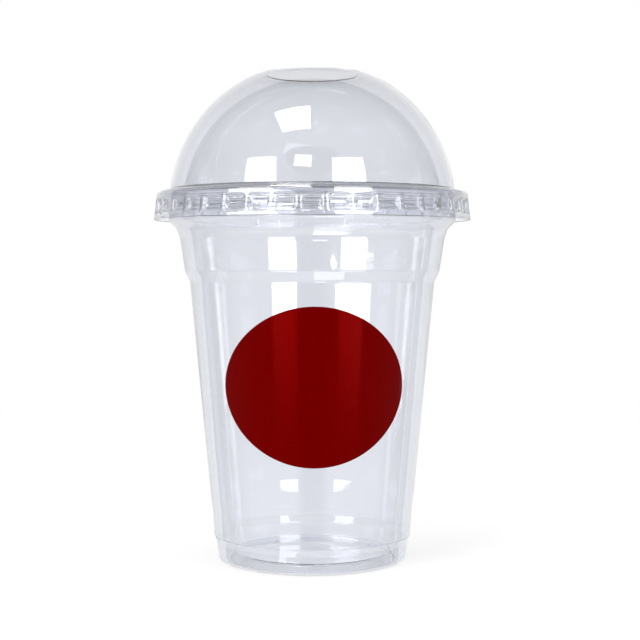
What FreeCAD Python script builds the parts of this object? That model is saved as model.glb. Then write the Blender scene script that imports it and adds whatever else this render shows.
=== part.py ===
import FreeCAD, Part
import math
import os

# A thin-walled clear cold-drink cup with a push-fit dome lid and an oval print on its front.
# Millimetres, +Z up, origin on the axis in the plane that the foot ring stands on.
# Every thin sheet is drawn as the line of its outer face, thickened inwards and turned about the axis.

V = FreeCAD.Vector

# Cup: overall size, wall, and the roll of its rim
cup_height = 119.0
cup_wall = 0.4
rim_radius = 49.0
rim_roll_radius = 1.5
rim_roll_turn = 235.0

# Cup foot: a ring that stands on the table, with a slightly crowned floor raised inside it
foot_radius = 31.15
foot_height = 6.3
foot_taper = 0.7
foot_round = 1.9
foot_ring_width = 3.85
foot_ring_slope_width = 1.4
foot_inner_round = 0.7
floor_height = 2.5
floor_crown = 0.6
floor_flat_width = 3.0
floor_round = 1.0

# Cup body: a slow cone, with a small stacking step low down and a shoulder at its top
foot_step = 0.9
foot_step_height = 2.1
foot_step_round = 0.8
stack_height = 16.4
stack_spread = 0.45
stack_step = 0.65
stack_step_height = 4.5
stack_round = 3.0
shoulder_step = 1.6
shoulder_step_height = 3.2
shoulder_low_round = 4.0
shoulder_top_round = 1.5

# Cup neck: a wider band, then two flares up to the collar that carries the rolled rim
neck_band_height = 10.7
neck_spread = 1.6
neck_round = 4.0
flare_step = 1.1
flare_step_height = 3.0
flare_round = 3.0
collar_step = 2.45
collar_step_height = 2.4
collar_depth = 9.2
collar_round = 1.6

# Lid: a ledge on the rim, a skirt round it, a dome, and a flat land round the straw hole
lid_wall = 0.35
lid_seat_clearance = 0.25
lid_skirt_clearance = 0.8
skirt_flare = 1.05
skirt_hem = 3.45
skirt_round = 1.3
ledge_slope = 0.15
crease_round = 0.5
dome_inset = 2.8
dome_centre_drop = 4.6
dome_foot_angle = 7.5
straw_hole_radius = 14.4
land_width = 1.85
land_round = 9.5

# Locking dimples pressed into the lid's skirt, just under the rolled rim
dimple_count = 40
dimple_rim_clearance = 0.2
dimple_rim_drop = 0.65
dimple_flat_height = 1.7
dimple_side_slope = 1.1
dimple_top_slope = 1.25
dimple_bottom_slope = 1.35
rib_width = 1.4

# Print on the front of the cup: an oval as seen from straight ahead of it, laid on the outer face,
# and turned a little from the front of the lid's pattern of dimples
print_half_width = 27.35
print_half_height = 24.6
print_rise = 2.9
print_turn = 1.1
print_thickness = 0.08
print_gap = 0.15

# Radii of the cup, worked out from the foot upwards and from the rim downwards
roll_centre_radius = rim_radius - rim_roll_radius
collar_radius = roll_centre_radius - rim_roll_radius + cup_wall
flare_radius = collar_radius - collar_step
neck_radius = flare_radius - flare_step
shoulder_radius = neck_radius - neck_spread
body_top_radius = shoulder_radius - shoulder_step
foot_bottom_radius = foot_radius - foot_taper
foot_ring_radius = foot_bottom_radius - foot_ring_width
floor_radius = foot_ring_radius - foot_ring_slope_width
body_bottom_radius = foot_radius + foot_step
stack_low_radius = body_bottom_radius + stack_spread
stack_high_radius = stack_low_radius + stack_step

# Heights of the cup, worked out the same way
collar_height = cup_height - collar_depth
flare_height = collar_height - collar_step_height
neck_height = flare_height - flare_step_height
shoulder_height = neck_height - neck_band_height
body_top_height = shoulder_height - shoulder_step_height
body_bottom_height = foot_height + foot_step_height
stack_high_height = stack_height + stack_step_height
print_centre_height = (stack_high_height + body_top_height) / 2 + print_rise

# The lid's outer face, worked out from the rim that it sits on
seat_height = cup_height + lid_seat_clearance + lid_wall
skirt_top_radius = rim_radius + lid_skirt_clearance + lid_wall
skirt_top_height = seat_height - ledge_slope * (skirt_top_radius - roll_centre_radius)
skirt_edge_radius = skirt_top_radius + skirt_flare
dome_radius = rim_radius - dome_inset
dome_centre_height = seat_height - dome_centre_drop
land_radius = straw_hole_radius + land_width
dimple_flat_plane = rim_radius + dimple_rim_clearance + lid_wall
dimple_top_height = cup_height - 2 * rim_roll_radius - dimple_rim_drop
dimple_bottom_height = dimple_top_height - dimple_flat_height
skirt_edge_height = dimple_bottom_height - skirt_hem
skirt_slope = skirt_flare / (skirt_top_height - skirt_edge_height)


def point(radius, height):
    """A point of a turned outline, in the XZ plane."""
    return V(radius, 0, height)


def on_circle(centre, radius, degrees):
    """A point of an outline on a circle, at an angle above the outward direction."""
    angle = math.radians(degrees)
    return centre + V(radius * math.cos(angle), 0, radius * math.sin(angle))


def arc(centre, radius, start_degrees, end_degrees):
    """A round stretch of an outline, between two angles above the outward direction."""
    middle_degrees = (start_degrees + end_degrees) / 2
    start = on_circle(centre, radius, start_degrees)
    middle = on_circle(centre, radius, middle_degrees)
    end = on_circle(centre, radius, end_degrees)
    return Part.Arc(start, middle, end).toShape()


def rounded_line(corners):
    """Edges of an open line through (point, rounding radius), with tangent arcs at its corners."""
    edges = []
    start = corners[0][0]
    for index in range(1, len(corners) - 1):
        corner, radius = corners[index]
        before = (corners[index - 1][0] - corner).normalize()
        after = (corners[index + 1][0] - corner).normalize()
        half = before.getAngle(after) / 2
        tangent = radius / math.tan(half)
        middle = (before + after).normalize()
        arc_start = corner + before * tangent
        arc_end = corner + after * tangent
        arc_middle = corner + middle * (radius / math.sin(half) - radius)
        edges.append(Part.LineSegment(start, arc_start).toShape())
        edges.append(Part.Arc(arc_start, arc_middle, arc_end).toShape())
        start = arc_end
    edges.append(Part.LineSegment(start, corners[-1][0]).toShape())
    return edges


def shifted(outline, distance):
    """An open outline moved sideways, inwards where the distance is positive."""
    return outline.makeOffset2D(distance, 2, False, True, False)


def turned_sheet(outline, wall, degrees):
    """A sheet between an open outline and the same outline moved inwards by the wall."""
    section = outline.makeOffset2D(wall, 2, True, True, False)
    return section.revolve(V(0, 0, 0), V(0, 0, 1), degrees)


def cup_floor():
    """The crown of the floor, from its middle to the flat border inside the foot ring."""
    edge_radius = floor_radius - floor_flat_width
    crown_radius = (edge_radius ** 2 + floor_crown ** 2) / (2 * floor_crown)
    crown_centre = point(0, floor_height + floor_crown - crown_radius)
    edge_angle = math.degrees(math.acos(edge_radius / crown_radius))
    return arc(crown_centre, crown_radius, 90, edge_angle)


def cup_side(floor_edge, roll_start):
    """The outer face of foot, body, neck and collar."""
    return rounded_line([
        (floor_edge, 0),
        (point(floor_radius, floor_height), floor_round),
        (point(foot_ring_radius, 0), foot_inner_round),
        (point(foot_bottom_radius, 0), foot_round),
        (point(foot_radius, foot_height), foot_step_round),
        (point(body_bottom_radius, body_bottom_height), foot_step_round),
        (point(stack_low_radius, stack_height), stack_round),
        (point(stack_high_radius, stack_high_height), stack_round),
        (point(body_top_radius, body_top_height), shoulder_low_round),
        (point(shoulder_radius, shoulder_height), shoulder_top_round),
        (point(neck_radius, neck_height), neck_round),
        (point(flare_radius, flare_height), flare_round),
        (point(collar_radius, collar_height), collar_round),
        (roll_start, 0),
    ])


def cup_outline():
    """The cup's outer face, from the middle of the floor to the end of the rolled rim."""
    floor = cup_floor()
    roll_centre = point(roll_centre_radius, cup_height - rim_roll_radius)
    roll = arc(roll_centre, rim_roll_radius - cup_wall, 180, 180 - rim_roll_turn)
    side = cup_side(floor.Vertexes[-1].Point, roll.Vertexes[0].Point)
    return Part.Wire([floor] + side + [roll])


def lid_outline():
    """The lid's outer face, from the skirt's lower edge to the straw hole."""
    centre = point(0, dome_centre_height)
    tilt = math.tan(math.radians(dome_foot_angle))
    dome_foot = on_circle(centre, dome_radius, dome_foot_angle)
    # The dome's foot runs on in a straight line down to the ledge, and meets it at the crease
    foot_reach = dome_foot.x - roll_centre_radius
    above_seat = dome_foot.z - seat_height
    drop = (above_seat + ledge_slope * foot_reach) / (1 - ledge_slope * tilt)
    crease = dome_foot + V(drop * tilt, 0, -drop)
    side = rounded_line([
        (point(skirt_edge_radius, skirt_edge_height), 0),
        (point(skirt_top_radius, skirt_top_height), skirt_round),
        (crease, crease_round),
        (dome_foot, 0),
    ])
    # The round at the top touches the dome and the flat land
    round_reach = dome_radius - land_round
    round_rise = math.sqrt(round_reach ** 2 - land_radius ** 2)
    round_centre = centre + V(land_radius, 0, round_rise)
    round_angle = math.degrees(math.atan2(round_rise, land_radius))
    dome = arc(centre, dome_radius, dome_foot_angle, round_angle)
    top_round = arc(round_centre, land_round, round_angle, 90)
    land_edge = on_circle(round_centre, land_round, 90)
    land = Part.LineSegment(land_edge, point(straw_hole_radius, land_edge.z)).toShape()
    return Part.Wire(side + [dome, top_round, land])


def dimple_wedge(growth):
    """The hollow of one dimple at azimuth 0, with its flat faces moved outwards by a wall.

    Its sides leave a rib of one width between dimples, all the way down the flared skirt."""
    def side(plane, height):
        skirt_radius = skirt_edge_radius - skirt_slope * (height - skirt_edge_height)
        at_skirt = skirt_radius * math.tan(math.pi / dimple_count) - rib_width / 2
        moved = growth * math.sqrt(1 + dimple_side_slope ** 2)
        return at_skirt - dimple_side_slope * (skirt_radius - plane) + moved

    def height(plane, slope):
        moved = growth * math.sqrt(1 + slope ** 2)
        return dimple_flat_height / 2 + slope * (plane - dimple_flat_plane) + moved

    def rectangle(plane):
        top = middle + height(plane, dimple_top_slope)
        bottom = middle - height(plane, dimple_bottom_slope)
        corners = [(-1, bottom), (1, bottom), (1, top), (-1, top)]
        return [V(plane, sign * side(plane, level), level) for sign, level in corners]

    middle = (dimple_top_height + dimple_bottom_height) / 2
    near = rectangle(dimple_flat_plane - growth)
    far = rectangle(skirt_edge_radius + lid_wall)
    loops = [near, far]
    for index in range(4):
        following = (index + 1) % 4
        loops.append([near[index], near[following], far[following], far[index]])
    faces = [Part.Face(Part.makePolygon(loop + [loop[0]])) for loop in loops]
    return Part.Solid(Part.Shell(faces))


def around_axis(shape, count):
    """Copies of a shape, evenly spaced about the axis, one of them at the front."""
    copies = []
    for index in range(count):
        copy = shape.copy()
        copy.rotate(V(0, 0, 0), V(0, 0, 1), -90 + index * 360 / count)
        copies.append(copy)
    return copies


def skirt_core():
    """The space inside the skirt's outer face, to trim the dimples' walls with."""
    high = skirt_top_height - skirt_round
    high_radius = skirt_top_radius + skirt_round * skirt_slope
    return Part.makeCone(skirt_edge_radius, high_radius, high - skirt_edge_height, point(0, skirt_edge_height))


def make_cup():
    """The cup: one turned sheet, from the floor to the rolled rim."""
    return turned_sheet(cup_outline(), cup_wall, 360)


def make_lid():
    """The lid: a turned sheet with the locking dimples pressed into its skirt."""
    sheet = turned_sheet(lid_outline(), lid_wall, 360)
    wall = dimple_wedge(lid_wall).common(skirt_core())
    pressed = sheet.fuse(around_axis(wall, dimple_count))
    return pressed.cut(around_axis(dimple_wedge(0), dimple_count)).removeSplitter()


def make_print():
    """The ink: a thin layer over the cup's outer face, with the outline of an oval seen from the front."""
    skin = turned_sheet(shifted(cup_outline(), -print_gap), -print_thickness, 180)
    skin.rotate(V(0, 0, 0), V(0, 0, 1), 180)
    oval = Part.Face(Part.Wire([Part.Ellipse(V(0, 0, 0), print_half_width, print_half_height).toShape()]))
    oval.rotate(V(0, 0, 0), V(1, 0, 0), 90)
    oval.translate(V(0, 0, print_centre_height))
    stamp = oval.extrude(V(0, -2 * rim_radius, 0))
    layer = skin.common(stamp)
    layer.rotate(V(0, 0, 0), V(0, 0, 1), print_turn)
    return layer


def save(name, shape):
    """Write one piece of the object as a STEP file."""
    shape.exportStep("parts/" + name + ".step")
    print(name, "solids", len(shape.Solids), "valid", shape.isValid(), "mm3", round(shape.Volume, 1))


os.makedirs("parts", exist_ok=True)
save("cup", make_cup())
save("lid", make_lid())
save("printed_oval", make_print())
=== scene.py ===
import math

import bpy
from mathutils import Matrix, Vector


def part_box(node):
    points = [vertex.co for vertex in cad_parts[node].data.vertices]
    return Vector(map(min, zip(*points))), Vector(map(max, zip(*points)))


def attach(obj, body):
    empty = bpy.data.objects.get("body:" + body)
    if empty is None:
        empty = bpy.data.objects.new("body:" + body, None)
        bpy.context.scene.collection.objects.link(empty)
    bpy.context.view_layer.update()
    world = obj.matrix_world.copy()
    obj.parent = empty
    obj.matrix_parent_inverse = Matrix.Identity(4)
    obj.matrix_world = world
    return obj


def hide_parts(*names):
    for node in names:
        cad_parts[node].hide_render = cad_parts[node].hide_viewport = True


# A clear cold-drink cup with a push-fit dome lid and an oval print, in a plain white studio.
# Metres and degrees, in the frame of the solids: +Z up, the print faces -Y, the origin is under the cup.
# The thin sheets are turned again here, with finer rows and rounded cut edges, and stand for the solids.

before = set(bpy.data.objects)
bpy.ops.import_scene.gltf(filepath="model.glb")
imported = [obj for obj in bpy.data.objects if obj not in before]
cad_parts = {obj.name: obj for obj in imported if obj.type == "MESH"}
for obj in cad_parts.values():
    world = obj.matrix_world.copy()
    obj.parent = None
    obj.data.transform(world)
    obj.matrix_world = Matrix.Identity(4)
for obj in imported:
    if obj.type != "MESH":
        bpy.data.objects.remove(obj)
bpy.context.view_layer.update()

# The sizes that the solids give
cup_low, cup_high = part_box("cup")
lid_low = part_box("lid")[0]
print_low, print_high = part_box("printed_oval")
cup_height = cup_high.z
rim_radius = -cup_low.y
skirt_edge_radius = -lid_low.y
skirt_edge_height = lid_low.z

# Cup: wall and rolled rim
cup_wall = 0.0004
rim_roll_radius = 0.0015
rim_roll_turn = 235

# Cup: foot and floor
foot_radius = 0.03115
foot_height = 0.0063
foot_taper = 0.0007
foot_round = 0.0019
foot_ring_width = 0.00385
foot_ring_slope_width = 0.0014
foot_inner_round = 0.0007
floor_height = 0.0025
floor_crown = 0.0006
floor_flat_width = 0.003
floor_round = 0.001

# Cup: the step above the foot, the stacking step and the shoulder
foot_step = 0.0009
foot_step_height = 0.0021
foot_step_round = 0.0008
stack_height = 0.0164
stack_spread = 0.00045
stack_step = 0.00065
stack_step_height = 0.0045
stack_round = 0.003
shoulder_step = 0.0016
shoulder_step_height = 0.0032
shoulder_low_round = 0.004
shoulder_top_round = 0.0015

# Cup: neck band, flares and collar
neck_band_height = 0.0107
neck_spread = 0.0016
neck_round = 0.004
flare_step = 0.0011
flare_step_height = 0.003
flare_round = 0.003
collar_step = 0.00245
collar_step_height = 0.0024
collar_depth = 0.0092
collar_round = 0.0016

# Cup: radii worked out from these, from the rim downwards and from the foot
roll_centre_radius = rim_radius - rim_roll_radius
collar_radius = roll_centre_radius - rim_roll_radius + cup_wall
flare_radius = collar_radius - collar_step
neck_radius = flare_radius - flare_step
shoulder_radius = neck_radius - neck_spread
body_top_radius = shoulder_radius - shoulder_step
foot_bottom_radius = foot_radius - foot_taper
foot_ring_radius = foot_bottom_radius - foot_ring_width
floor_radius = foot_ring_radius - foot_ring_slope_width
body_bottom_radius = foot_radius + foot_step
stack_low_radius = body_bottom_radius + stack_spread
stack_high_radius = stack_low_radius + stack_step

# Cup: heights, worked out the same way
collar_height = cup_height - collar_depth
flare_height = collar_height - collar_step_height
neck_height = flare_height - flare_step_height
shoulder_height = neck_height - neck_band_height
body_top_height = shoulder_height - shoulder_step_height
body_bottom_height = foot_height + foot_step_height
stack_high_height = stack_height + stack_step_height

# Lid: wall, seat, skirt, ledge, dome and straw hole
lid_wall = 0.00035
lid_seat_clearance = 0.00025
lid_skirt_clearance = 0.0008
skirt_round = 0.0013
ledge_slope = 0.15
crease_round = 0.0005
dome_inset = 0.0028
dome_centre_drop = 0.0046
dome_foot_angle = 7.5
straw_hole_radius = 0.0144
land_width = 0.00185
land_round = 0.0095

# Lid: the locking dimples in the skirt, and the crowned ribs between them
dimple_count = 40
dimple_rim_clearance = 0.0002
dimple_rim_drop = 0.00065
dimple_flat_height = 0.0017
dimple_side_slope = 0.55
dimple_top_slope = 1.25
dimple_bottom_slope = 1.35
dimple_round = 0.0002
rib_width = 0.0017
rib_round = 0.00025
rib_crown_radius = 0.002
rib_crown_depth = 0.0004

# Lid: radii and heights worked out from these, and half the angle between two dimples
seat_height = cup_height + lid_seat_clearance + lid_wall
skirt_top_radius = rim_radius + lid_skirt_clearance + lid_wall
skirt_top_height = seat_height - ledge_slope * (skirt_top_radius - roll_centre_radius)
dome_radius = rim_radius - dome_inset
dome_centre_height = seat_height - dome_centre_drop
land_radius = straw_hole_radius + land_width
dimple_plane = rim_radius + dimple_rim_clearance + lid_wall
dimple_top = cup_height - 2 * rim_roll_radius - dimple_rim_drop
dimple_bottom = dimple_top - dimple_flat_height
dimple_half_pitch = math.pi / dimple_count

# Sharp bends: painted shade, a darker tint where the sheet is bent sharply, standing in for the light that
# the bend sends out of sight
# A bend of the sharp radius counts in full, and a crease between two faces of a dimple has a reach on
# either side. The sides of the ribs and the upper creases count in part. Slighter bends don't show.
sharp_radius = 0.0006
crease_reach = 0.00022
rib_side_bend = 0.5
top_crease_bend = 0.7
bend_shade_start = 0.4

# Print: an oval layer just clear of the cup's outer face, turned a little about the axis
print_turn = math.radians(1.1)
print_half_width = (print_high.x - print_low.x) / 2 / math.cos(print_turn)
print_half_height = (print_high.z - print_low.z) / 2
print_centre_height = (print_high.z + print_low.z) / 2
print_gap = 0.00015
print_thickness = 0.00008

# Ink: painted light, a glow on its inner side that stands in for the light that comes through it
painted_ink_glow = 0.24

# How finely the sheets are divided
# The columns of a dimple are in half pitches from its middle. The lid's rings have them from the radius
# of the fine rings outwards. The print's rings are even, with one more close to its edge.
arc_step = 9
row_spacing = 0.004
edge_support = 0.00025
cup_segments = 288
crown_rows = 8
dome_rows = 26
dome_segments = 320
dimple_columns = (0, 0.18, 0.34, 0.48, 0.58, 0.64, 0.68, 0.72, 0.76, 0.8, 0.86, 0.93, 1)
dimple_row_spacing = 0.00041
fine_ring_radius = 0.049
print_segments = 192
print_rings = 24
print_edge_ring = 0.995

# Camera: where the photograph was taken from, and the point in the axis plane at its middle
camera_place = Vector((0, -0.468, 0.0945))
camera_aim = Vector((0.0025, 0, 0.0778))
camera_lens = 80.83

# Studio: the floor, which takes a faint shadow and fades to plain white between two distances
floor_size = 12
floor_gap = 0.00005
floor_shade = 0.3
floor_light = 0.75
floor_fade_start = 0.12
floor_fade_end = 0.6

# Studio: the wall behind the cup, as mirrored rays see it
# Here and below, limits and heights are parts of a direction: how far it points to a side, away from
# the camera, down or up. What has two limits changes evenly from the one to the other.
wall_light = (0.88, 0.7)
wall_heights = (-0.12, 0.02)
wall_limits = (0.575, 0.595)
wall_lean = 0.15
middle_light = 0.35
middle_limits = (0.72, 0.95)
middle_heights = (0.04, 0.12)

# Studio: the room beside and in front of the cup, as mirrored rays see it
side_light = 0.5
under_light = 0.85
over_light = 0.1
dark_light = 0.01
front_limits = (0.14, 0.34)
upper_limits = (0.08, 0.4)
lower_limits = (0.35, 0.65)
over_limits = (0.3, 0.8)
flag_limits = (-0.2, 0.45)
low_flag_share = 0.7

# Studio: the dark ceiling, as rays see it that only passed through, and the light for all others
ceiling_light = 0.08
ceiling_limits = (0.1, 0.36)
other_light = 0.5

# Studio: the cards, their distance from the axis and where a soft one starts to fade
card_distance = 1.3
card_half = 0.5
soft_start = 0.05


def circle_point(centre, radius, degrees):
    """A point (radius, height) on a circle, at an angle above the outward direction."""
    angle = math.radians(degrees)
    return centre + Vector((math.cos(angle), math.sin(angle))) * radius


def arc(centre, radius, start, end):
    """Points along a circle between two angles in degrees, both ends included."""
    steps = max(2, math.ceil(abs(end - start) / arc_step))
    return [circle_point(centre, radius, start + (end - start) * step / steps) for step in range(steps + 1)]


def straight(start, end, spacing):
    """Points inside a straight stretch, one close to each end so that it shades as flat."""
    length = (end - start).length
    if length < 4 * edge_support:
        return []
    first = start.lerp(end, edge_support / length)
    last = end.lerp(start, edge_support / length)
    steps = math.ceil(length / spacing)
    return [first.lerp(last, step / steps) for step in range(steps + 1)]


def rounded_line(corners, spacing=row_spacing):
    """Points along a line through (radius, height, rounding) corners, with an arc at each inner corner."""
    points = [Vector(corners[0][:2])]
    for index in range(1, len(corners) - 1):
        previous, corner, following = (Vector(c[:2]) for c in corners[index - 1:index + 2])
        rounding = corners[index][2]
        before = (previous - corner).normalized()
        after = (following - corner).normalized()
        half = before.angle(after) / 2
        arc_start = corner + before * rounding / math.tan(half)
        centre = corner + (before + after).normalized() * rounding / math.sin(half)
        out = arc_start - centre
        start = math.degrees(math.atan2(out.y, out.x))
        turn = 180 - 2 * math.degrees(half)
        side = 1 if before.x * after.y - before.y * after.x < 0 else -1
        points += straight(points[-1], arc_start, spacing)
        points += arc(centre, rounding, start, start + side * turn)
    end = Vector(corners[-1][:2])
    return points + straight(points[-1], end, spacing) + [end]


def shortened(line, distance):
    """A line with its far end drawn back by a distance."""
    line = list(line)
    while (line[-1] - line[-2]).length <= distance:
        distance -= (line[-1] - line[-2]).length
        line.pop()
    line[-1] = line[-1] + (line[-2] - line[-1]).normalized() * distance
    return line


def left_of(direction):
    """The direction to the left of another, which is inwards all along the outlines."""
    return Vector((-direction.y, direction.x))


def moved_left(line, distance):
    """A line moved sideways by a distance."""
    moved = []
    for index, place in enumerate(line):
        before = (place - line[index - 1]).normalized() if index else None
        after = (line[index + 1] - place).normalized() if index + 1 < len(line) else None
        sides = [left_of(direction) for direction in (before, after) if direction]
        middle = sum(sides, Vector((0, 0))).normalized()
        moved.append(place + middle * distance / middle.dot(sides[0]))
    return moved


def edge_cap(start, end):
    """Points round the cut edge of a sheet, from one face to the other, turning left."""
    centre = (start + end) / 2
    side = start - centre
    ahead = left_of(side)
    angles = [math.radians(degrees) for degrees in (45, 90, 135)]
    return [centre + side * math.cos(angle) + ahead * math.sin(angle) for angle in angles]


def cup_line():
    """The outer face of the cup, from the middle of its floor to the end of the rolled rim."""
    crown_reach = floor_radius - floor_flat_width
    crown_radius = (crown_reach ** 2 + floor_crown ** 2) / (2 * floor_crown)
    crown_centre = Vector((0, floor_height + floor_crown - crown_radius))
    crown_angle = math.degrees(math.acos(crown_reach / crown_radius))
    crown_turns = [90 + (crown_angle - 90) * row / crown_rows for row in range(crown_rows + 1)]
    floor = [circle_point(crown_centre, crown_radius, turn) for turn in crown_turns]
    roll_centre = Vector((roll_centre_radius, cup_height - rim_roll_radius))
    roll = arc(roll_centre, rim_roll_radius - cup_wall, 180, 180 - rim_roll_turn)
    side = rounded_line([
        (floor[-1].x, floor[-1].y, 0),
        (floor_radius, floor_height, floor_round),
        (foot_ring_radius, 0, foot_inner_round),
        (foot_bottom_radius, 0, foot_round),
        (foot_radius, foot_height, foot_step_round),
        (body_bottom_radius, body_bottom_height, foot_step_round),
        (stack_low_radius, stack_height, stack_round),
        (stack_high_radius, stack_high_height, stack_round),
        (body_top_radius, body_top_height, shoulder_low_round),
        (shoulder_radius, shoulder_height, shoulder_top_round),
        (neck_radius, neck_height, neck_round),
        (flare_radius, flare_height, flare_round),
        (collar_radius, collar_height, collar_round),
        (roll[0].x, roll[0].y, 0),
    ])
    return floor[:-1] + side[:-1] + roll


def lid_line():
    """The outer face of the lid, from the lower edge of its skirt to the straw hole."""
    centre = Vector((0, dome_centre_height))
    tilt = math.tan(math.radians(dome_foot_angle))
    dome_foot = circle_point(centre, dome_radius, dome_foot_angle)
    above_seat = dome_foot.y - seat_height
    drop = (above_seat + ledge_slope * (dome_foot.x - roll_centre_radius)) / (1 - ledge_slope * tilt)
    crease = dome_foot + Vector((drop * tilt, -drop))
    skirt_edge = Vector((skirt_edge_radius, skirt_edge_height))
    skirt_top = Vector((skirt_top_radius, skirt_top_height))
    ledge_middle = skirt_top.lerp(crease, 0.5)
    skirt_corners = [(*skirt_edge, 0), (*skirt_top, skirt_round), (*ledge_middle, 0)]
    skirt = rounded_line(skirt_corners, dimple_row_spacing)
    ledge = rounded_line([(*ledge_middle, 0), (*crease, crease_round), (*dome_foot, 0)])
    round_rise = math.sqrt((dome_radius - land_round) ** 2 - land_radius ** 2)
    round_centre = centre + Vector((land_radius, round_rise))
    round_angle = math.degrees(math.atan2(round_rise, land_radius))
    dome_arc = round_angle - dome_foot_angle
    dome_turns = [dome_foot_angle + dome_arc * row / dome_rows for row in range(1, dome_rows)]
    dome = [circle_point(centre, dome_radius, turn) for turn in dome_turns]
    top_round = arc(round_centre, land_round, round_angle, 90)
    hole_edge = Vector((straw_hole_radius, top_round[-1].y))
    land = straight(top_round[-1], hole_edge, row_spacing)
    return skirt[:-1] + ledge[1:] + dome + top_round + land + [hole_edge]


def smooth_max(first, second, reach):
    """The larger of two numbers, with a round of a given reach where they meet."""
    share = min(1, max(0, 0.5 + 0.5 * (first - second) / reach))
    return second + (first - second) * share + reach * share * (1 - share)


def dimple_faces(azimuth, height):
    """Radii of the skirt and of a dimple's flat, side, top and bottom, at an azimuth from its middle."""
    flare = (skirt_edge_radius - skirt_top_radius) / (skirt_top_height - skirt_edge_height)
    skirt = skirt_top_radius + flare * (skirt_top_height - height)
    cosine = math.cos(azimuth)
    side_start = skirt - (skirt * math.tan(dimple_half_pitch) - rib_width / 2) / dimple_side_slope
    side = side_start / (cosine - abs(math.sin(azimuth)) / dimple_side_slope)
    top = (dimple_plane + (height - dimple_top) / dimple_top_slope) / cosine
    bottom = (dimple_plane + (dimple_bottom - height) / dimple_bottom_slope) / cosine
    return skirt, dimple_plane / cosine, side, top, bottom


def skirt_pressed(azimuth, height):
    """How far the dimples press the skirt inwards, at an azimuth from the middle of a dimple."""
    skirt, flat, side, top, bottom = dimple_faces(azimuth, height)
    hollow = smooth_max(flat, side, dimple_round)
    hollow = smooth_max(hollow, smooth_max(top, bottom, dimple_round), dimple_round)
    across = skirt * (dimple_half_pitch - abs(azimuth))
    beside = min(1, max(0, (skirt - max(flat, top, bottom)) / rib_crown_depth))
    crown = min(across, rib_width) ** 2 / (2 * rib_crown_radius) * beside
    return skirt + smooth_max(crown - skirt, -hollow, rib_round)


def dimple_bend(azimuth, height):
    """How sharply the skirt is bent beside a rib or along a crease of a dimple, from 0 to 1."""
    skirt, flat, side, top, bottom = dimple_faces(azimuth, height)
    deepest = max(flat, side, top, bottom)
    if deepest >= skirt:
        return 0
    if deepest == side:
        bend_shade_mask = rib_side_bend
    else:
        top_bend = top_crease_bend * (1 - abs(flat - top) / crease_reach)
        bottom_bend = 1 - abs(flat - bottom) / crease_reach
        bend_shade_mask = max(0, top_bend, bottom_bend)
    return bend_shade_mask * min(1, (skirt - deepest) / crease_reach)


def section_bends(section):
    """How sharply a closed or nearly closed outline bends at each of its places, from 0 to 1."""
    bends = [0]
    for previous, place, following in zip(section, section[1:], section[2:]):
        turn = (place - previous).angle(following - place)
        length = ((place - previous).length + (following - place).length) / 2
        bends.append(min(1, sharp_radius * turn / length))
    return bends + [0]


def ring(count, radius, height):
    """One turn of evenly spaced places at a height, the first one at the front."""
    angles = [2 * math.pi * index / count for index in range(count)]
    return [(radius * math.sin(angle), -radius * math.cos(angle), height) for angle in angles]


def dimple_shares():
    """The columns of one dimple, from its middle over the rib to the next one, in half pitches."""
    return list(dimple_columns) + [2 - share for share in dimple_columns[-2:0:-1]]


def column_azimuth(share):
    """How far a column is from the middle of the nearest dimple, as an angle."""
    return min(share, 2 - share) * dimple_half_pitch


def dimpled_ring(radius, height, shares):
    """One turn of places at a height of the skirt, drawn in by the dimples and closer at the ribs."""
    reaches = [radius - skirt_pressed(column_azimuth(share), height) for share in shares]
    places = []
    for index in range(dimple_count):
        for share, reach in zip(shares, reaches):
            angle = (2 * index + share) * dimple_half_pitch
            places.append((reach * math.sin(angle), -reach * math.cos(angle), height))
    return places


def joined(lower, upper):
    """Faces between two rings of vertex numbers, where one ring may be finer, or a single vertex."""
    if len(lower) < len(upper):
        return [face[::-1] for face in joined(upper, lower)]
    ratio = len(lower) // len(upper)
    if len(upper) == 1:
        return [[lower[i], lower[(i + 1) % len(lower)], upper[0]] for i in range(len(lower))]
    faces = []
    for index in range(len(upper)):
        wide = [lower[(index * ratio + step) % len(lower)] for step in range(ratio + 1)]
        faces.append(wide + [upper[(index + 1) % len(upper)], upper[index]])
    return faces


def solid_of_rings(name, rings, closed, bends=()):
    """A smooth mesh through a row of rings, joined back to the first one where it is closed.

    How sharply each place of a ring is bent is kept as an attribute, the mask of the plastic's painted
    shade.
    """
    places = []
    numbers = []
    for turn in rings:
        numbers.append(list(range(len(places), len(places) + len(turn))))
        places += turn
    pairs = list(zip(numbers, numbers[1:]))
    if closed:
        pairs.append((numbers[-1], numbers[0]))
    faces = [face for lower, upper in pairs for face in joined(lower, upper)]
    mesh = bpy.data.meshes.new(name)
    mesh.from_pydata(places, [], faces)
    mesh.shade_smooth()
    if bends:
        mesh.attributes.new("bend_shade_mask", "FLOAT", "POINT").data.foreach_set("value", sum(bends, []))
    mesh.validate()
    piece = bpy.data.objects.new(name, mesh)
    bpy.context.scene.collection.objects.link(piece)
    return piece


def make_cup():
    """The cup as one turned sheet, closed at its axis."""
    outer = shortened(cup_line(), cup_wall / 2)
    inner = moved_left(outer, cup_wall)
    section = outer + edge_cap(outer[-1], inner[-1]) + inner[::-1]
    rings = [ring(1 if place.x < edge_support else cup_segments, place.x, place.y) for place in section]
    bends = [[bend_shade_mask] * len(turn) for bend_shade_mask, turn in zip(section_bends(section), rings)]
    return solid_of_rings("cup_shell", rings, False, bends)


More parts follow.
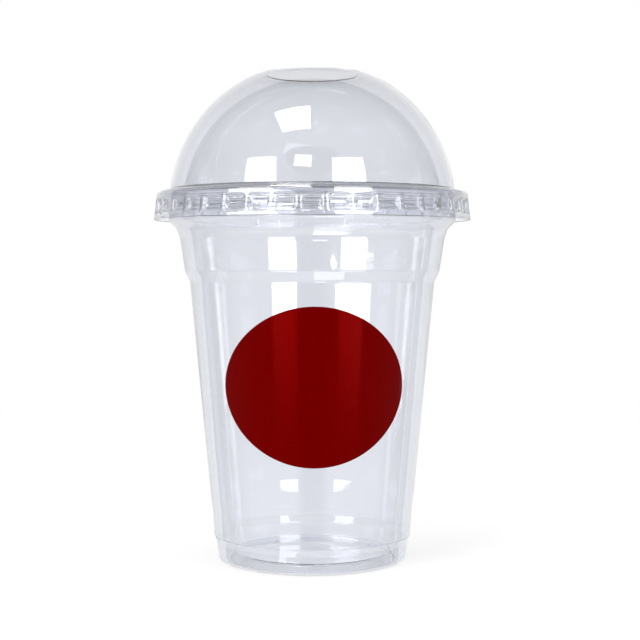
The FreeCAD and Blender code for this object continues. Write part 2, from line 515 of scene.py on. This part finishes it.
def make_lid():
    """The lid as one turned sheet with a rounded edge at the skirt and at the straw hole."""
    outer = shortened(lid_line(), lid_wall / 2)
    outer = shortened(outer[::-1], lid_wall / 2)[::-1]
    inner = moved_left(outer, lid_wall)
    section = outer + edge_cap(outer[-1], inner[-1]) + inner[::-1] + edge_cap(inner[0], outer[0])
    columns = dimple_shares()
    rings = []
    bends = []
    for place, bend_shade_mask in zip(section, section_bends(section)):
        if place.x < fine_ring_radius:
            rings.append(ring(dome_segments, place.x, place.y))
            bends.append([bend_shade_mask] * dome_segments)
        else:
            rings.append(dimpled_ring(place.x, place.y, columns))
            folds = [dimple_bend(column_azimuth(share), place.y) for share in columns]
            bends.append([max(bend_shade_mask, fold) for fold in folds] * dimple_count)
    return solid_of_rings("lid_shell", rings, True, bends)


def make_print():
    """The ink layer: an oval seen from the front, laid on the cone of the cup's body."""
    slope = (body_top_radius - stack_high_radius) / (body_top_height - stack_high_height)

    def oval(share, lift):
        """Places round the oval, drawn in to a share of its size, or its middle alone."""
        count = print_segments if share else 1
        places = []
        for turn in [2 * math.pi * index / count for index in range(count)]:
            across = print_half_width * share * math.sin(turn)
            height = print_centre_height + print_half_height * share * math.cos(turn)
            reach = stack_high_radius + slope * (height - stack_high_height) + lift
            azimuth = math.asin(across / reach) + print_turn
            places.append((reach * math.sin(azimuth), -reach * math.cos(azimuth), height))
        return places

    shares = [step / print_rings for step in range(print_rings)] + [print_edge_ring, 1]
    front = [oval(share, print_gap + print_thickness) for share in shares]
    back = [oval(share, print_gap) for share in shares]
    return solid_of_rings("print_layer", front + back[::-1], False)


def new_tree(material):
    """An empty node tree for a material or a world."""
    material.use_nodes = True
    material.node_tree.nodes.clear()
    return material.node_tree


def add_node(tree, kind, values=None, **settings):
    """A node with its settings and with constant values on its inputs."""
    node = tree.nodes.new(kind)
    for name, value in settings.items():
        setattr(node, name, value)
    for name, value in (values or {}).items():
        node.inputs[name].default_value = value
    return node


def give(tree, value, socket):
    """Gives an input a constant value or the output of another node."""
    if isinstance(value, bpy.types.NodeSocket):
        tree.links.new(value, socket)
    else:
        socket.default_value = value


def calculated(tree, operation, *values):
    """The result of a calculation with constant values and outputs of other nodes."""
    node = add_node(tree, "ShaderNodeMath", operation=operation)
    for value, socket in zip(values, node.inputs):
        give(tree, value, socket)
    return node.outputs[0]


def chosen(tree, share, value, otherwise):
    """One value where the share is 1, and the other where it is 0."""
    mix = add_node(tree, "ShaderNodeMix")
    give(tree, share, mix.inputs[0])
    give(tree, otherwise, mix.inputs[2])
    give(tree, value, mix.inputs[3])
    return mix.outputs[0]


def colour_between(tree, share, low, high):
    """A colour between two others."""
    mix = add_node(tree, "ShaderNodeMix", data_type="RGBA")
    give(tree, share, mix.inputs[0])
    give(tree, low, mix.inputs[6])
    give(tree, high, mix.inputs[7])
    return mix.outputs[2]


def between(tree, value, low, high, from_low=0.3, from_high=0.7):
    """A value brought from one range to another. Without limits, its range is that of a noise pattern."""
    limits = {"From Min": from_low, "From Max": from_high, "To Min": low, "To Max": high}
    span = add_node(tree, "ShaderNodeMapRange", limits)
    tree.links.new(value, span.inputs["Value"])
    return span.outputs["Result"]


def noise(tree, coordinates, stretch, scale, detail):
    """A noise pattern over the object's own coordinates, stretched along an axis."""
    mapping = add_node(tree, "ShaderNodeMapping", {"Scale": stretch})
    pattern = add_node(tree, "ShaderNodeTexNoise", {"Scale": scale, "Detail": detail})
    tree.links.new(coordinates, mapping.inputs["Vector"])
    tree.links.new(mapping.outputs["Vector"], pattern.inputs["Vector"])
    return pattern.outputs["Fac"]


def clear_plastic(name, face_tint, edge_and_bend_shade_tint, edge_limits, bend_shade_share, painted_light_depths, wave_height):
    """Clear thermoformed sheet: soft draw marks, fine scuffs, a darker tint at grazing edges, and painted
    shade at sharp bends.

    Painted light: sheet seen through many others has its tint faded towards white, which stands in for the
    light those others scatter in front of it.
    """
    material = bpy.data.materials.new(name)
    tree = new_tree(material)
    light_path = add_node(tree, "ShaderNodeLightPath").outputs
    place = add_node(tree, "ShaderNodeTexCoord").outputs["Object"]
    facing = add_node(tree, "ShaderNodeLayerWeight", {"Blend": 0.25}).outputs["Facing"]
    bend_shade_mask = add_node(tree, "ShaderNodeAttribute", attribute_name="bend_shade_mask").outputs["Fac"]
    grazing = between(tree, facing, 0, 1, *edge_limits)
    # Painted shade: the tint darkens towards the edge tint where the sheet is bent sharply
    bent = between(tree, bend_shade_mask, 0, bend_shade_share, bend_shade_start, 1)
    # Painted light: far sheets lose their tint, standing in for the light that nearer sheets scatter
    far = between(tree, light_path["Transmission Depth"], 0, 1, *painted_light_depths)
    tint = colour_between(tree, calculated(tree, "MAXIMUM", grazing, bent), face_tint, edge_and_bend_shade_tint)
    tint = colour_between(tree, far, tint, (1, 1, 1, 1))
    scuffs = noise(tree, place, stretch=(1, 1, 1), scale=420, detail=6)
    roughness = between(tree, scuffs, 0.012, 0.045)
    waves = noise(tree, place, stretch=(1, 1, 0.12), scale=55, detail=2)
    bump = add_node(tree, "ShaderNodeBump", {"Strength": 1.0, "Distance": wave_height})
    shader = add_node(tree, "ShaderNodeBsdfPrincipled", {"IOR": 1.57, "Transmission Weight": 1.0})
    clear = add_node(tree, "ShaderNodeBsdfTransparent", {"Color": (0.93, 0.94, 0.95, 1)})
    mix = add_node(tree, "ShaderNodeMixShader")
    output = add_node(tree, "ShaderNodeOutputMaterial")
    tree.links.new(tint, shader.inputs["Base Color"])
    tree.links.new(roughness, shader.inputs["Roughness"])
    tree.links.new(waves, bump.inputs["Height"])
    tree.links.new(bump.outputs["Normal"], shader.inputs["Normal"])
    tree.links.new(light_path["Is Shadow Ray"], mix.inputs[0])
    tree.links.new(shader.outputs["BSDF"], mix.inputs[1])
    tree.links.new(clear.outputs["BSDF"], mix.inputs[2])
    tree.links.new(mix.outputs["Shader"], output.inputs["Surface"])
    return material


def red_ink(name):
    """Flat dark red screen ink: slightly uneven density, satin, with the grain of the printing mesh.

    Its side towards the axis glows with painted light, which stands in for the light that comes
    through the thin film, though not to mirrored rays.
    """
    material = bpy.data.materials.new(name)
    tree = new_tree(material)
    coordinates = add_node(tree, "ShaderNodeTexCoord").outputs
    outward = add_node(tree, "ShaderNodeVectorMath", operation="DOT_PRODUCT")
    tree.links.new(coordinates["Normal"], outward.inputs[0])
    tree.links.new(coordinates["Object"], outward.inputs[1])
    # Painted light: the inner side glows, except to mirrored rays
    inside = calculated(tree, "LESS_THAN", outward.outputs["Value"], 0)
    mirrored = add_node(tree, "ShaderNodeLightPath").outputs["Glossy Depth"]
    painted_glow_share = calculated(tree, "MAXIMUM", calculated(tree, "SUBTRACT", inside, mirrored), 0)
    light = calculated(tree, "MULTIPLY", painted_glow_share, painted_ink_glow)
    density = noise(tree, coordinates["Object"], stretch=(1, 1, 0.4), scale=60, detail=4)
    grain = noise(tree, coordinates["Object"], stretch=(1, 1, 1), scale=2600, detail=3)
    colour = colour_between(tree, density, (0.138, 0.0001, 0.0002, 1), (0.124, 0.0001, 0.0001, 1))
    roughness = between(tree, grain, 0.1, 0.16)
    bump = add_node(tree, "ShaderNodeBump", {"Strength": 0.4, "Distance": 0.00001})
    values = {
        "IOR": 1.25,
        "Specular IOR Level": 0.5,
        "Specular Tint": (1, 0.02, 0.02, 1),
        "Emission Color": (1, 0.006, 0.008, 1),
    }
    shader = add_node(tree, "ShaderNodeBsdfPrincipled", values)
    output = add_node(tree, "ShaderNodeOutputMaterial")
    tree.links.new(light, shader.inputs["Emission Strength"])
    tree.links.new(colour, shader.inputs["Base Color"])
    tree.links.new(roughness, shader.inputs["Roughness"])
    tree.links.new(grain, bump.inputs["Height"])
    tree.links.new(bump.outputs["Normal"], shader.inputs["Normal"])
    tree.links.new(shader.outputs["BSDF"], output.inputs["Surface"])
    return material


def finish_piece(piece, material, body, node):
    """Dresses a piece, lets it ride on its body and makes it stand for its solid."""
    piece.data.materials.append(material)
    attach(piece, body)
    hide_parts(node)


def seen_by_mirrored_rays(tree, surface, seen):
    """Shows a surface only to rays that were mirrored on their way, or only to the others."""
    mirrored = add_node(tree, "ShaderNodeLightPath").outputs["Glossy Depth"]
    clear = add_node(tree, "ShaderNodeBsdfTransparent").outputs["BSDF"]
    mix = add_node(tree, "ShaderNodeMixShader")
    output = add_node(tree, "ShaderNodeOutputMaterial")
    tree.links.new(mirrored, mix.inputs[0])
    tree.links.new(clear if seen else surface, mix.inputs[1])
    tree.links.new(surface if seen else clear, mix.inputs[2])
    tree.links.new(mix.outputs["Shader"], output.inputs["Surface"])


def make_floor():
    """A white floor that keeps a faint shadow near the cup and fades to plain white further off."""
    bpy.ops.mesh.primitive_plane_add(size=floor_size, location=(0, 0, -floor_gap))
    floor = bpy.context.object
    floor.name = "floor"
    material = bpy.data.materials.new("floor_white")
    tree = new_tree(material)
    length = add_node(tree, "ShaderNodeVectorMath", operation="LENGTH")
    tree.links.new(add_node(tree, "ShaderNodeTexCoord").outputs["Object"], length.inputs[0])
    fade = between(tree, length.outputs["Value"], 0, 1, floor_fade_start, floor_fade_end)
    shade = (floor_shade, floor_shade, floor_shade, 1)
    diffuse = add_node(tree, "ShaderNodeBsdfDiffuse", {"Color": shade})
    glow = add_node(tree, "ShaderNodeEmission", {"Color": (1, 1, 1, 1), "Strength": floor_light})
    near = add_node(tree, "ShaderNodeAddShader")
    far = add_node(tree, "ShaderNodeEmission", {"Color": (1, 1, 1, 1), "Strength": 1.0})
    mix = add_node(tree, "ShaderNodeMixShader")
    tree.links.new(diffuse.outputs["BSDF"], near.inputs[0])
    tree.links.new(glow.outputs["Emission"], near.inputs[1])
    tree.links.new(fade, mix.inputs[0])
    tree.links.new(near.outputs["Shader"], mix.inputs[1])
    tree.links.new(far.outputs["Emission"], mix.inputs[2])
    seen_by_mirrored_rays(tree, mix.outputs["Shader"], False)
    floor.data.materials.append(material)


def make_card(name, centre, angles, size, strength, fade=0, soft=False):
    """A softbox that only reflections show. Its angles are pitch, roll and azimuth in degrees.

    Its light fades out over a share of its height at the lower edge, or softly towards both sides.
    """
    bpy.ops.mesh.primitive_plane_add(size=2 * card_half, location=centre)
    card = bpy.context.object
    card.name = name
    card.scale = (*size, 1)
    card.rotation_euler = [math.radians(angle) for angle in angles]
    card.visible_camera = False
    card.visible_diffuse = False
    card.visible_shadow = False
    material = bpy.data.materials.new(name)
    tree = new_tree(material)
    glow = add_node(tree, "ShaderNodeEmission", {"Strength": strength})
    if fade or soft:
        parts = add_node(tree, "ShaderNodeSeparateXYZ")
        tree.links.new(add_node(tree, "ShaderNodeTexCoord").outputs["Object"], parts.inputs[0])
        if soft:
            across = calculated(tree, "ABSOLUTE", parts.outputs["X"])
            faded = between(tree, across, strength, 0, soft_start, card_half)
        else:
            faded = between(tree, parts.outputs["Y"], 0, strength, -card_half, fade - card_half)
        tree.links.new(faded, glow.inputs["Strength"])
    seen_by_mirrored_rays(tree, glow.outputs["Emission"], True)
    card.data.materials.append(material)


def make_standing_card(name, azimuth, height, roll, size, strength, fade=0, soft=False):
    """An upright softbox that faces the cup's axis, at an azimuth from the camera's side."""
    angle = math.radians(azimuth)
    centre = (card_distance * math.sin(angle), -card_distance * math.cos(angle), height)
    make_card(name, centre, (90, roll, azimuth), size, strength, fade, soft)


def make_lamp(name, place, size, power):
    """A soft lamp aimed at the middle of the cup, which reflections don't show."""
    lamp = bpy.data.objects.new(name, bpy.data.lights.new(name, "AREA"))
    bpy.context.scene.collection.objects.link(lamp)
    lamp.data.shape = "DISK"
    lamp.data.size = size
    lamp.data.energy = power
    lamp.location = place
    lamp.rotation_euler = (camera_aim - Vector(place)).to_track_quat("-Z", "Y").to_euler()
    lamp.visible_glossy = False
    lamp.visible_transmission = False


def make_world():
    """White to the camera, and a studio to the rays that the clear sheets bend or mirror.

    Mirrored rays see a leaning wall behind the cup, brighter low down and in its upper middle. A dark
    flag at each edge parts it from dim sides, and is lighter low down. A gap in front and the room
    overhead are dark, and the ground is bright. Rays that only passed through see white below a dark
    ceiling, and all others see one grey.
    """
    world = bpy.data.worlds.new("studio")
    bpy.context.scene.world = world
    tree = new_tree(world)
    direction = add_node(tree, "ShaderNodeTexCoord").outputs["Generated"]
    parts = add_node(tree, "ShaderNodeSeparateXYZ")
    tree.links.new(direction, parts.inputs[0])
    across, along, up = (parts.outputs[name] for name in ("X", "Y", "Z"))
    light_path = add_node(tree, "ShaderNodeLightPath").outputs

    beside = between(tree, calculated(tree, "ABSOLUTE", across), 0, 1, *front_limits)
    not_above = between(tree, up, 1, 0, *upper_limits)
    not_flag = between(tree, along, 1, 0, *flag_limits)
    low_flag = between(tree, up, low_flag_share, 0, *wall_heights)
    sides = calculated(tree, "MULTIPLY", beside, not_above)
    sides = calculated(tree, "MULTIPLY", sides, calculated(tree, "MAXIMUM", not_flag, low_flag))
    below = between(tree, calculated(tree, "MULTIPLY", up, -1), 0, 1, *lower_limits)
    room = chosen(tree, below, under_light, between(tree, sides, dark_light, side_light, 0, 1))
    room = calculated(tree, "ADD", room, between(tree, up, 0, over_light, *over_limits))

    middle = between(tree, along, 0, middle_light, *middle_limits)
    middle = calculated(tree, "MULTIPLY", middle, between(tree, up, 0, 1, *middle_heights))
    wall = calculated(tree, "ADD", between(tree, up, *wall_light, *wall_heights), middle)
    leaning = calculated(tree, "ADD", along, calculated(tree, "MULTIPLY", up, wall_lean))
    mirrored = chosen(tree, between(tree, leaning, 0, 1, *wall_limits), wall, room)

    passed = between(tree, up, 1, ceiling_light, *ceiling_limits)
    strength = chosen(tree, light_path["Is Transmission Ray"], passed, other_light)
    strength = chosen(tree, light_path["Glossy Depth"], mirrored, strength)
    strength = chosen(tree, light_path["Is Camera Ray"], 1, strength)
    background = add_node(tree, "ShaderNodeBackground", {"Color": (1, 1, 1, 1)})
    output = add_node(tree, "ShaderNodeOutputWorld")
    tree.links.new(strength, background.inputs["Strength"])
    tree.links.new(background.outputs["Background"], output.inputs["Surface"])


def make_camera():
    """The camera at the photograph's place."""
    camera = bpy.data.objects.new("camera", bpy.data.cameras.new("camera"))
    bpy.context.scene.collection.objects.link(camera)
    camera.data.lens = camera_lens
    camera.data.sensor_width = 36
    camera.data.clip_start = 0.01
    camera.location = camera_place
    camera.rotation_euler = (camera_aim - camera_place).to_track_quat("-Z", "Y").to_euler()
    bpy.context.scene.camera = camera


cup_plastic = clear_plastic(
    "clear_cup_plastic",
    face_tint=(0.905, 0.917, 0.955, 1),
    edge_and_bend_shade_tint=(0.52, 0.53, 0.56, 1),
    edge_limits=(0.75, 0.97),
    bend_shade_share=0.5,
    painted_light_depths=(7.5, 9.5),
    wave_height=0.00006,
)
lid_plastic = clear_plastic(
    "clear_lid_plastic",
    face_tint=(0.892, 0.903, 0.938, 1),
    edge_and_bend_shade_tint=(0.09, 0.096, 0.115, 1),
    edge_limits=(0.83, 1),
    bend_shade_share=0.85,
    painted_light_depths=(3.5, 5.5),
    wave_height=0.00005,
)
finish_piece(make_cup(), cup_plastic, "cup", "cup")
finish_piece(make_lid(), lid_plastic, "lid", "lid")
finish_piece(make_print(), red_ink("dark_red_ink"), "cup", "printed_oval")

make_floor()
make_world()
make_camera()

# Cards above and below the camera: centre, angles, size and strength
make_card("overhead_card", (-0.213, -0.39, 1.1), (0, 0, 0), (0.39, 0.43), 10)
make_card("deep_card", (0.192, -0.568, -0.68), (90, 0, 18.7), (0.374, 0.26), 2.8)

# Cards that stand round the cup: azimuth, height, roll, size and strength
make_standing_card("small_card", -8, 0.935, 3, (0.32, 0.28), 10)
make_standing_card("high_left_card", -43, 0.71, -9, (0.62, 0.53), 4)
make_standing_card("high_right_card", 30, 0.72, 4, (0.64, 0.54), 7)
make_standing_card("rib_left_card", -43, 0.36, 0, (0.9, 0.26), 6)
make_standing_card("rib_right_card", 28, 0.36, 0, (0.55, 0.26), 6)
make_standing_card("middle_left_card", -37, 0.205, 0, (0.5, 0.048), 7)
make_standing_card("middle_right_card", 28, 0.205, 0, (0.5, 0.048), 7)
make_standing_card("low_left_card", -26, -0.2175, 0, (0.52, 0.235), 8, fade=0.6)
make_standing_card("low_right_card", 36, -0.2175, 0, (0.52, 0.235), 8, fade=0.6)
make_standing_card("spark_card", 18.7, -0.278, 0, (0.12, 0.005), 12)
make_standing_card("spark_middle_card", 18.7, -0.278, 0, (0.05, 0.012), 12)
make_standing_card("left_side_card", -99, 0.065, 0, (0.26, 0.57), 1.6, soft=True)
make_standing_card("right_side_card", 101, 0.065, 0, (0.26, 0.57), 1.6, soft=True)
make_standing_card("right_thin_card", 113, -0.05, 0, (0.14, 0.8), 1, soft=True)

# Lamps: place, size and power
make_lamp("key_lamp", (-0.7, -0.8, 0.9), 0.7, 12)
make_lamp("fill_lamp", (0.9, -0.5, 0.7), 0.8, 6)

cycles = bpy.context.scene.cycles
cycles.max_bounces = 32
cycles.transmission_bounces = 32
cycles.glossy_bounces = 12
cycles.transparent_max_bounces = 32
cycles.caustics_reflective = False
cycles.caustics_refractive = False
bpy.context.scene.view_settings.view_transform = "Standard"
